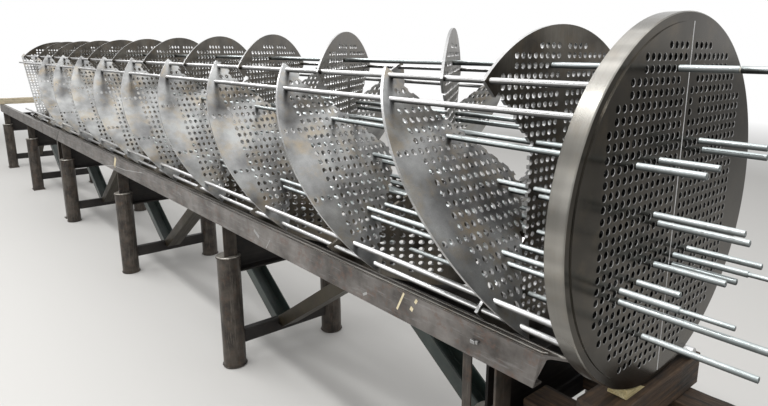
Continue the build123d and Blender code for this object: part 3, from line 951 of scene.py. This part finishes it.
# %% [markdown]
# ## Bench
# The bench is welded from rolled sections: two long channels as rails, six trestles on
# pipe legs, and slanted braces that rise from each cross bar to a spine under the plates.
# A rolled section is one outline drawn out straight, so one helper, `prism`, joins two
# copies of an outline. `rounded` gives an outline its rolled corners first, and channels
# and angles have a helper each, because they come back in several sizes. The rails end
# in a slanting cut with a tongue of the top flange left standing, as on the real one.

# %% Helpers for rolled sections
def rounded(points, radii, steps=4):
    """A flat outline with each corner rounded by its own radius."""
    made = []
    for i, (corner, radius) in enumerate(zip(points, radii)):
        corner = Vector(corner)
        if not radius:
            made.append(tuple(corner))
            continue
        before = (Vector(points[i - 1]) - corner).normalized()
        after = (Vector(points[(i + 1) % len(points)]) - corner).normalized()
        half = acos(max(-1, min(1, before.dot(after)))) / 2
        centre = corner + (before + after).normalized() * radius / sin(half)
        start = corner + before * radius / tan(half) - centre
        turn = start.angle_signed(corner + after * radius / tan(half) - centre)
        for k in range(steps + 1):
            angle = -turn * k / steps
            made.append((centre.x + start.x * cos(angle) - start.y * sin(angle),
                         centre.y + start.x * sin(angle) + start.y * cos(angle)))
    return made


def channel_section(back, front, bottom, top, web, flange, radii):
    """A channel with its web at the back. The radii are those of its lower four corners."""
    inside = back + web * (1 if front > back else -1)
    corners = [(back, bottom), (front, bottom), (front, bottom + flange), (inside, bottom + flange),
               (inside, top - flange), (front, top - flange), (front, top), (back, top)]
    return rounded(corners, radii + radii[::-1])


def angle_section(width, wall, radii):
    """An angle about the middle of its width."""
    half, inside = width / 2, wall - width / 2
    return rounded([(-half, -half), (half, -half), (half, inside), (inside, inside), (inside, half),
                    (-half, half)], radii)


# %% Helpers that draw a section out
def prism(mesh, first, second, material=0, smooth=False):
    """Adds a closed bar between two outlines with the same number of points."""
    one, two = [[mesh.verts.new(point) for point in outline] for outline in (first, second)]
    walls = [mesh.faces.new((one[i - 1], one[i], two[i], two[i - 1])) for i in range(len(one))]
    for face in walls:
        face.smooth = smooth
    for face in walls + [mesh.faces.new(one), mesh.faces.new(two)]:
        face.material_index = material


def standing(mesh, section, x, y, bottom, top, material=0, smooth=False):
    """Adds an upright bar."""
    prism(mesh, [(x + a, y + b, bottom) for a, b in section],
          [(x + a, y + b, top) for a, b in section], material, smooth)


def box_between(mesh, low, high):
    """Adds a box between two corners."""
    flat = [(low[1], low[2]), (high[1], low[2]), (high[1], high[2]), (low[1], high[2])]
    prism(mesh, [(low[0], *point) for point in flat], [(high[0], *point) for point in flat])


def finished(name, mesh, finishes, break_width=0.0015):
    """Turns a bmesh into an object with its finishes and softly broken edges."""
    bmesh.ops.recalc_face_normals(mesh, faces=mesh.faces)
    for edge in mesh.edges:
        edge.smooth = edge.calc_face_angle(0.0) < sharp_angle
    data = bpy.data.meshes.new(name)
    mesh.to_mesh(data)
    mesh.free()
    for finish in finishes:
        data.materials.append(finish)
    obj = new_object(name, data)
    if break_width:
        break_edges(obj, break_width, 40, 2)
    return obj


# %% Rails
rail_outer, rail_inner = -rail_low.y, -rail_high.y
rail_bottom, rail_top = rail_low.z, rail_high.z
web, flange = 0.006, 0.0085
tongue, set_back = 0.065, 0.018
top_skin = 0.0035              # what lies this near the top is rubbed bright
channel = channel_section(rail_outer, rail_inner, rail_bottom, rail_top, web, flange,
                          [0.003, 0.002, 0.004, 0.008])


def rail_end(y, z):
    """Where the rail ends at a point of its section."""
    if z > rail_top - 2 * flange:
        return rail_high.x + tongue * (rail_outer - y) / (rail_outer - rail_inner)
    return rail_high.x - set_back * (rail_top - z) / (rail_top - rail_bottom)


for node, side in (("near_rail", -1), ("far_rail", 1)):
    rail = bmesh.new()
    prism(rail, [(rail_low.x, side * y, z) for y, z in channel],
          [(rail_end(y, z), side * y, z) for y, z in channel])
    for face in rail.faces:
        if all(vertex.co.z > rail_top - top_skin for vertex in face.verts):
            face.material_index = 1
    keep(finished(node + "_channel", rail, [rail_finish, rail_top_finish], 0.0008), "rail_steel", node)

# %% [markdown]
# On each rail lie two thin steel strips, on which the bundle was slid into place. Their
# tops are rubbed bright, and they run out to a point past the rail's end.

# %% Sliding strips on the rails
strip_back, strip_slant = 0.02, 1.5
strip_sizes = [(0.303, 0.309, 0.005, 0.055), (0.317, 0.325, 0.004, 0.012)]
for label, side in (("near", -1), ("far", 1)):
    strips = bmesh.new()
    for inner, outer, thick, ahead in strip_sizes:
        corners = [(inner, 0.0), (outer, 0.0), (outer, thick), (inner, thick)]
        prism(strips, [(rail_low.x + strip_back, side * y, rail_top + z) for y, z in corners],
              [(rail_high.x + ahead - strip_slant * (y - inner), side * y, rail_top + z)
               for y, z in corners])
    keep(finished(f"{label}_sliding_strips", strips, [rod_strip_finish], 0.0008), "rail_steel")

# %% [markdown]
# The near rail carries the marks of years in the shop: chalk strokes, a joint where two
# lengths meet, scratches, and a small clip near its end. They are thin strips laid on the
# web, each given by two points on it and a width.

# %% Finishes of the marks
chalk_finish = worn("chalk", (0.62, 0.52, 0.32), (0.80, 0.72, 0.52), (0.5, 0.42, 0.3), (0.7, 0.65, 0.5),
                    (1, 1, 1), 0.9, 0.2, 0.4, 0.0, 0.01)
line_finish = worn("open joint", grey(0.012), grey(0.03), (0.03, 0.02, 0.015), grey(0.04), (1, 1, 1), 0.8)
scratch_finish = worn("bright scratch", grey(0.30), grey(0.48), (0.30, 0.25, 0.2), grey(0.6), (1, 1, 1),
                      0.35, 0.2, 0.4, 0.8)

# %% Marks on the near rail
chalk, joint, scratch = 0, 1, 2
rail_marks = [                 # both ends as (behind the face, up from the axis), width, finish
    ((0.615, -0.330), (0.647, -0.391), 0.007, chalk), ((0.558, -0.332), (0.566, -0.345), 0.009, chalk),
    ((0.578, -0.362), (0.584, -0.374), 0.012, chalk), ((3.500, -0.326), (3.545, -0.392), 0.030, chalk),
    ((1.563, -0.360), (1.521, -0.381), 0.012, scratch), ((1.428, -0.370), (1.465, -0.413), 0.003, scratch),
    ((5.174, -0.324), (5.300, -0.420), 0.006, joint), ((3.770, -0.419), (3.560, -0.388), 0.005, scratch),
    ((3.560, -0.388), (3.314, -0.379), 0.005, scratch), ((3.314, -0.379), (2.980, -0.344), 0.004, scratch),
    ((0.795, -0.388), (0.815, -0.400), 0.008, scratch)]
mark_sunk, mark_proud = 0.0002, 0.0006


def strip_on_web(mesh, start, end, width, material):
    """A thin strip on the near rail's web."""
    one = Vector((face_x - start[0], axis_height + start[1]))
    two = Vector((face_x - end[0], axis_height + end[1]))
    across = (two - one).orthogonal().normalized() * width / 2
    corners = [one - across, two - across, two + across, one + across]
    prism(mesh, [(x, -rail_outer + mark_sunk, z) for x, z in corners],
          [(x, -rail_outer - mark_proud, z) for x, z in corners], material)


marks = bmesh.new()
for mark in rail_marks:
    strip_on_web(marks, *mark)
keep(finished("rail_marks", marks, [chalk_finish, line_finish, scratch_finish], 0), "rail_steel")

# %% The clip near the rail's end
clip = bmesh.new()
clip_half_depth, clip_half_height = 0.004, 0.005
for along, up, half in ((0.336, -0.372, 0.008), (0.322, -0.369, 0.004)):
    middle = Vector((face_x - along, -rail_outer - clip_half_depth, axis_height + up))
    reach = Vector((half, clip_half_depth, clip_half_height))
    box_between(clip, middle - reach, middle + reach)
keep(finished("rail_clip", clip, [scratch_finish]), "rail_steel")

# %% [markdown]
# ### Trestles
# Each leg is a piece of old pipe with an angle welded in its top, and a rubbed bright
# ring shows where the pipe was cut. Between the legs hang a deep bolster, folded like a
# channel, and a low cross bar. The braces are channels too, one dark green, one olive.
# The first and the fourth trestle have a thin angle beside a leg, and the legs of the
# last two stand on foot plates. A brace's level cut and its slope depend on each other,
# so a few rounds work both out.

# %% Sizes of a trestle
trestle_start, trestle_spacing, trestle_count = 0.300, 1.640, 6
leg_middle, leg_radius, leg_height, leg_steps = 0.285, 0.054, 0.570, 32
ring_height, ring_overlap, ring_proud, ring_eased = 0.005, 0.001, 0.0025, 0.001
post_width, post_wall, post_sunk = 0.065, 0.008, 0.003
bolster_top = axis_height - plate_radius - 0.008
bolster_bottom, bolster_half, bolster_wall = bolster_top - 0.225, 0.030, 0.009
bar_low, bar_high, bar_half, bar_round = 0.105, 0.175, 0.020, 0.006
brace_foot, brace_head, brace_gap = 0.140, bolster_top - 0.050, 0.012
brace_depth, brace_half_width, brace_wall = 0.060, 0.044, 0.007
brace_cut = brace_depth
for _ in range(30):
    brace_run = (trestle_spacing - brace_gap) / 2 - brace_cut
    brace_cut = brace_depth / 2 * sqrt(1 + (brace_run / (brace_head - brace_foot))**2)
print(f"braces rise at {degrees(atan2(brace_head - brace_foot, brace_run)):.1f} degrees")
trestle_finishes = [pipe_finish, bolster_finish, green_finish, olive_finish, cap_finish]
pipe_steel, near_black, green, olive, ring_steel = range(5)


# %% The sections of a trestle
def add_leg(mesh, x, side):
    """A pipe leg with the ring at its cut end, and the angle post in its top."""
    y = side * leg_middle
    standing(mesh, round_points(leg_radius, leg_steps), x, y, 0.0,
             leg_height - ring_height + ring_overlap, pipe_steel, True)
    wide = round_points(leg_radius + ring_proud, leg_steps)
    eased = round_points(leg_radius - ring_eased, leg_steps)
    prism(mesh, [(x + a, y + b, leg_height - ring_height) for a, b in wide],
          [(x + a, y + b, leg_height) for a, b in eased], ring_steel, True)
    post = angle_section(post_width, post_wall, [0.003, 0.002, 0.003, 0.006, 0.003, 0.002])
    standing(mesh, [(side * a, side * b) for a, b in post], x, y, leg_height - post_sunk, rail_bottom,
             pipe_steel, True)


def add_crossing(mesh, x, section):
    """A bar from leg to leg, with a section of (along, up) points."""
    prism(mesh, [(x + a, -leg_middle, z) for a, z in section],
          [(x + a, leg_middle, z) for a, z in section], near_black)


def add_brace(mesh, x, towards, material):
    """A brace that rises from the cross bar, forwards or backwards."""
    section = channel_section(-brace_cut, brace_cut, -brace_half_width, brace_half_width,
                              2 * brace_wall, brace_wall, [0] * 4)
    prism(mesh, [(x - towards * b, a, brace_foot) for b, a in section],
          [(x + towards * (brace_run - b), a, brace_head) for b, a in section], material)


def trestle_mesh(number, x):
    """The sections of one trestle."""
    mesh = bmesh.new()
    add_leg(mesh, x, -1)
    add_leg(mesh, x, 1)
    add_crossing(mesh, x, channel_section(-bolster_half, bolster_half, bolster_bottom, bolster_top,
                                          bolster_wall, bolster_wall, [0.004, 0.003, 0.003, 0.006]))
    add_crossing(mesh, x, rounded([(-bar_half, bar_low), (bar_half, bar_low), (bar_half, bar_high),
                                   (-bar_half, bar_high)], [bar_round] * 4))
    for towards, material in ((1, olive), (-1, green)):
        if 0 <= number - towards < trestle_count:
            add_brace(mesh, x, towards, material)
    return mesh


# %% Build the six trestles
thin_posts = {0: (-0.066, -0.306), 3: (-0.150, -0.300)}      # ahead of the legs' middle, and across
thin_width, thin_wall = 0.032, 0.005
thin_foot = Vector((0.035, 0.030, 0))
foot_plate, foot_plate_height, plated = Vector((0.065, 0.055, 0)), 0.008, (4, 5)


def foot(mesh, place, reach, height):
    """A flat plate on the floor, about a place."""
    box_between(mesh, place - reach, place + reach + Vector((0, 0, height)))


leg_places = []
for number in range(trestle_count):
    x = face_x - trestle_start - number * trestle_spacing
    mesh = trestle_mesh(number, x)
    legs = [(x, -leg_middle, 0.0), (x, leg_middle, 0.0)]
    leg_places += legs
    if number in thin_posts:
        ahead, y = thin_posts[number]
        standing(mesh, angle_section(thin_width, thin_wall, [0] * 6), x + ahead, y, 0.0, rail_bottom)
        foot(mesh, Vector((x + ahead, y, 0)), thin_foot, 0.006)
    if number in plated:
        for place in legs:
            foot(mesh, Vector(place), foot_plate, foot_plate_height)
    keep(finished(f"trestle_{number + 1}_welded", mesh, trestle_finishes), "trestle_steel",
         f"trestle_{number + 1}")

# %% The spine between the trestles
beam_half, beam_height, beam_flange, beam_web = 0.030, 0.050, 0.008, 0.004
one_side = [(beam_half, 0.0), (beam_half, beam_flange), (beam_web, beam_flange),
            (beam_web, beam_height - beam_flange), (beam_half, beam_height - beam_flange),
            (beam_half, beam_height)]
beam = one_side + [(-a, b) for a, b in reversed(one_side)]
spine = bmesh.new()
for number in range(trestle_count - 1):
    front = face_x - trestle_start - number * trestle_spacing - bolster_half
    back = front - trestle_spacing + 2 * bolster_half
    prism(spine, [(front, a, brace_head + b) for a, b in beam], [(back, a, brace_head + b) for a, b in beam])
keep(finished("bench_spine_beams", spine, [bolster_finish], 0.001), "trestle_steel", "bench_spine")

# %% [markdown]
# ### Weld beads
# A weld is a row of small overlapping blobs. A third tree puts a ring of points round
# every leg, at the floor and under the cut end, and a squashed blob on each point. The
# blob's size and turn are random with a fixed seed, so each run gives the same beads.

# %% A tree for weld beads
weld_tree, into = new_tree("weld beads", [
    ("Rings", "Geometry"), ("Radius", "Float"), ("Blobs", "Int"), ("Blob", "Float"), ("Seed", "Int"),
    ("Finish", "Material")])


def random_vector(low, high):
    """A random vector between two others."""
    return result(weld_tree, "FunctionNodeRandomValue", {0: low, 1: high, "Seed": into["Seed"]},
                  data_type="FLOAT_VECTOR")


ring = result(weld_tree, "GeometryNodeMeshCircle", {"Vertices": into["Blobs"], "Radius": into["Radius"]},
              fill_type="NONE")
rings = copies_on(weld_tree, into["Rings"], ring)
blob = result(weld_tree, "GeometryNodeMeshIcoSphere", {"Radius": into["Blob"], "Subdivisions": 2})
beads = copies_on(weld_tree, rings, blob, Scale=random_vector((0.7, 0.7, 0.6), (1.5, 1.4, 1.0)),
                  Rotation=random_vector((0, 0, 0), (0.3, 0.3, 6.28)))
beads = result(weld_tree, "GeometryNodeSetShadeSmooth", {"Geometry": beads}, domain="FACE")
end_tree(weld_tree, given_finish(weld_tree, beads, into["Finish"]))

# %% Weld beads on the legs
bead_low, bead_high = 0.007, leg_height - 0.008
bead_points = bpy.data.meshes.new("welds")
bead_points.from_pydata([(x, y, z) for z in (bead_low, bead_high) for x, y, _ in leg_places], [], [])
welds = run_tree("leg_welds", bead_points, weld_tree, {
    "Radius": leg_radius + 0.0015, "Blobs": 52, "Blob": 0.0036, "Seed": 5, "Finish": pipe_finish})
keep(welds, "trestle_steel")

# %% [markdown]
# ## Timber
# The crib is built of railway-like timbers, laid in pairs, each pair across the one
# below. No two are quite alike: every timber is a box whose long edges wander a little and
# whose ends are knocked round. A subdivided box, pushed inwards by a seeded noise, gives
# that without leaving the room that the timber has.

# %% One timber
def timber(mesh, low, high, along, seed):
    """One timber: a box cut into lengths, with its skin pushed inwards here and there."""
    part = bmesh.new()
    size = Vector(high) - Vector(low)
    middle = (Vector(low) + Vector(high)) / 2
    bmesh.ops.create_cube(part, size=1.0)
    for vertex in part.verts:
        vertex.co = Vector(low) + Vector([(c + 0.5) * s for c, s in zip(vertex.co, size)])
    long_edges = [edge for edge in part.edges
                  if abs((edge.verts[0].co - edge.verts[1].co)[along]) > 0.5 * size[along]]
    bmesh.ops.subdivide_edges(part, edges=long_edges, cuts=10)
    for vertex in part.verts:
        worn_in = 0.0015 + 0.004 * abs(field.noise(vertex.co * 9.0 + Vector((seed, 0, 0))))
        for axis in range(3):
            if axis != along:
                vertex.co[axis] -= worn_in * (1 if vertex.co[axis] > middle[axis] else -1)
    found = bpy.data.meshes.new("timber")
    part.to_mesh(found)
    part.free()
    mesh.from_mesh(found)
    bpy.data.meshes.remove(found)


# %% The crib under the tubesheet
crib_top = sheet_low.z - 0.0003
layers, timber_width, crib_length, crib_offset = 7, 0.110, 0.460, 0.150
timber_height = crib_top / layers
crib_middle = face_x + 0.020 - timber_width / 2


def timber_between(mesh, centre, reach, layer, along, seed):
    """A timber of one layer, about its centre."""
    low, high = [[c + end * r / 2 for c, r in zip(centre, reach)] for end in (-1, 1)]
    timber(mesh, (*low, layer * timber_height), (*high, (layer + 1) * timber_height), along, seed)


long_stack, cross_stack, cap = bmesh.new(), bmesh.new(), bmesh.new()
for layer in range(layers - 1):
    for offset in (-crib_offset, crib_offset):
        if (layers - layer) % 2 == 0:
            timber_between(long_stack, (crib_middle, offset), (crib_length, timber_width), layer, 0,
                           3.0 * layer + offset)
        else:
            timber_between(cross_stack, (crib_middle + offset, 0), (timber_width, crib_length), layer, 1,
                           3.0 * layer + offset)
timber_between(cap, (crib_middle, 0), (timber_width, crib_length), layers - 1, 1, 31.0)
for stack, node, finish in ((long_stack, "crib_long_timbers", crib_wood_x),
                            (cross_stack, "crib_cross_timbers", crib_wood_y),
                            (cap, "cap_timber", crib_wood_y)):
    keep(finished(node + "_sawn", stack, [finish], 0.004), "old_wood", node)

# %% The loose timber across the rails
loose = bmesh.new()
timber(loose, *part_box("bench_timber"), 1, 47.0)
keep(finished("bench_timber_sawn", loose, [loose_wood], 0.003), "new_wood", "bench_timber")

# %% [markdown]
# The wedge and the nuts keep the shapes that the CAD model gives them, and their
# material slots are filled with new finishes. A CAD object is never changed, but its
# material slots can be filled. The chock is a bar like the rods, and the tree for bars
# makes it round.

# %% Finishes for the CAD nodes that still show, and a round chock bar
for node, finish in (("rolling_wedge", wedge_wood), ("tie_rod_nuts", nut_finish)):
    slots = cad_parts[node].data.materials
    slots.clear()
    slots.append(finish)
    print("new finish on", node)
chock_low, chock_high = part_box("chock_bar")
chock_middle = (chock_low + chock_high) / 2
spans = [(chock_middle.y, chock_middle.z - axis_height, chock_low.x, chock_high.x)]
chock = bars_along_x("chock_bar_turned", spans, (chock_high.z - chock_low.z) / 2, rod_finish, sides=32)
keep(chock, "rod_steel", "chock_bar")

# %% [markdown]
# ## Floor, light and background
# The floor is plain and pale, and far away it fades to the white behind it. The light is
# a wide soft source overhead, a narrow strip above the near side that draws a bright line
# along each bar, and a weaker source at the near side. The world shows white to the
# camera and in reflections, and lights the object only gently.

# %% Floor
fade_start, fade_end = 7.0, 13.0       # from the frame's origin
bpy.ops.mesh.primitive_plane_add(size=400, location=(0, 0, 0))
floor = bpy.context.object
floor.name = "floor"
floor_material, floor_tree, floor_shader = new_finish("pale floor", 0.0)
floor_shader.inputs["Base Color"].default_value = (0.60, 0.59, 0.57, 1)
floor_shader.inputs["Roughness"].default_value = 0.85
away = calculate_vector(floor_tree, "LENGTH", {0: coordinates(floor_tree)}, "Value")
fade = spread(floor_tree, away, 0.0, 1.0, fade_start, fade_end)
to_camera = result(floor_tree, "ShaderNodeLightPath", pick="Is Camera Ray")
fade = calculate(floor_tree, "MULTIPLY", fade, to_camera)
glow = result(floor_tree, "ShaderNodeEmission", {"Color": (1, 1, 1, 1), "Strength": 1.0})
faded = result(floor_tree, "ShaderNodeMixShader", {0: fade, 1: floor_shader.outputs[0], 2: glow})
floor_tree.links.new(faded, floor_tree.nodes["Material Output"].inputs["Surface"])
floor.data.materials.append(floor_material)


# %% Lights
def area_light(name, place, target, size, power):
    """A rectangular light that looks at a target."""
    data = bpy.data.lights.new(name, "AREA")
    data.shape = "RECTANGLE"
    data.size, data.size_y = size
    data.energy = power
    light = bpy.data.objects.new(name, data)
    bpy.context.scene.collection.objects.link(light)
    light.location = place
    light.rotation_euler = (Vector(target) - Vector(place)).to_track_quat("-Z", "Y").to_euler()


area_light("overhead", (0.5, -0.5, 6.0), (0.5, -0.4, 0), (14, 8), 400)
area_light("strip", (1.0, -1.7, 4.8), (1.0, -0.3, 1.0), (11, 0.3), 170)
area_light("near_side", (3.0, -6.0, 2.6), (1.0, 0, 0.8), (5, 2.5), 95)

# %% Background
world = bpy.data.worlds.new("world")
bpy.context.scene.world = world
world.use_nodes = True
sky = world.node_tree
sky.nodes.clear()
rays = add_node(sky, "ShaderNodeLightPath").outputs
seen = calculate(sky, "MAXIMUM", rays["Is Camera Ray"], rays["Is Glossy Ray"])
seen = calculate(sky, "MAXIMUM", seen, rays["Is Transmission Ray"])
strength = spread(sky, seen, 0.45, 1.0, 0.0, 1.0)
background = result(sky, "ShaderNodeBackground", {"Color": (1, 1, 1, 1), "Strength": strength})
add_node(sky, "ShaderNodeOutputWorld", {"Surface": background})
bpy.context.scene.view_settings.view_transform = "Standard"
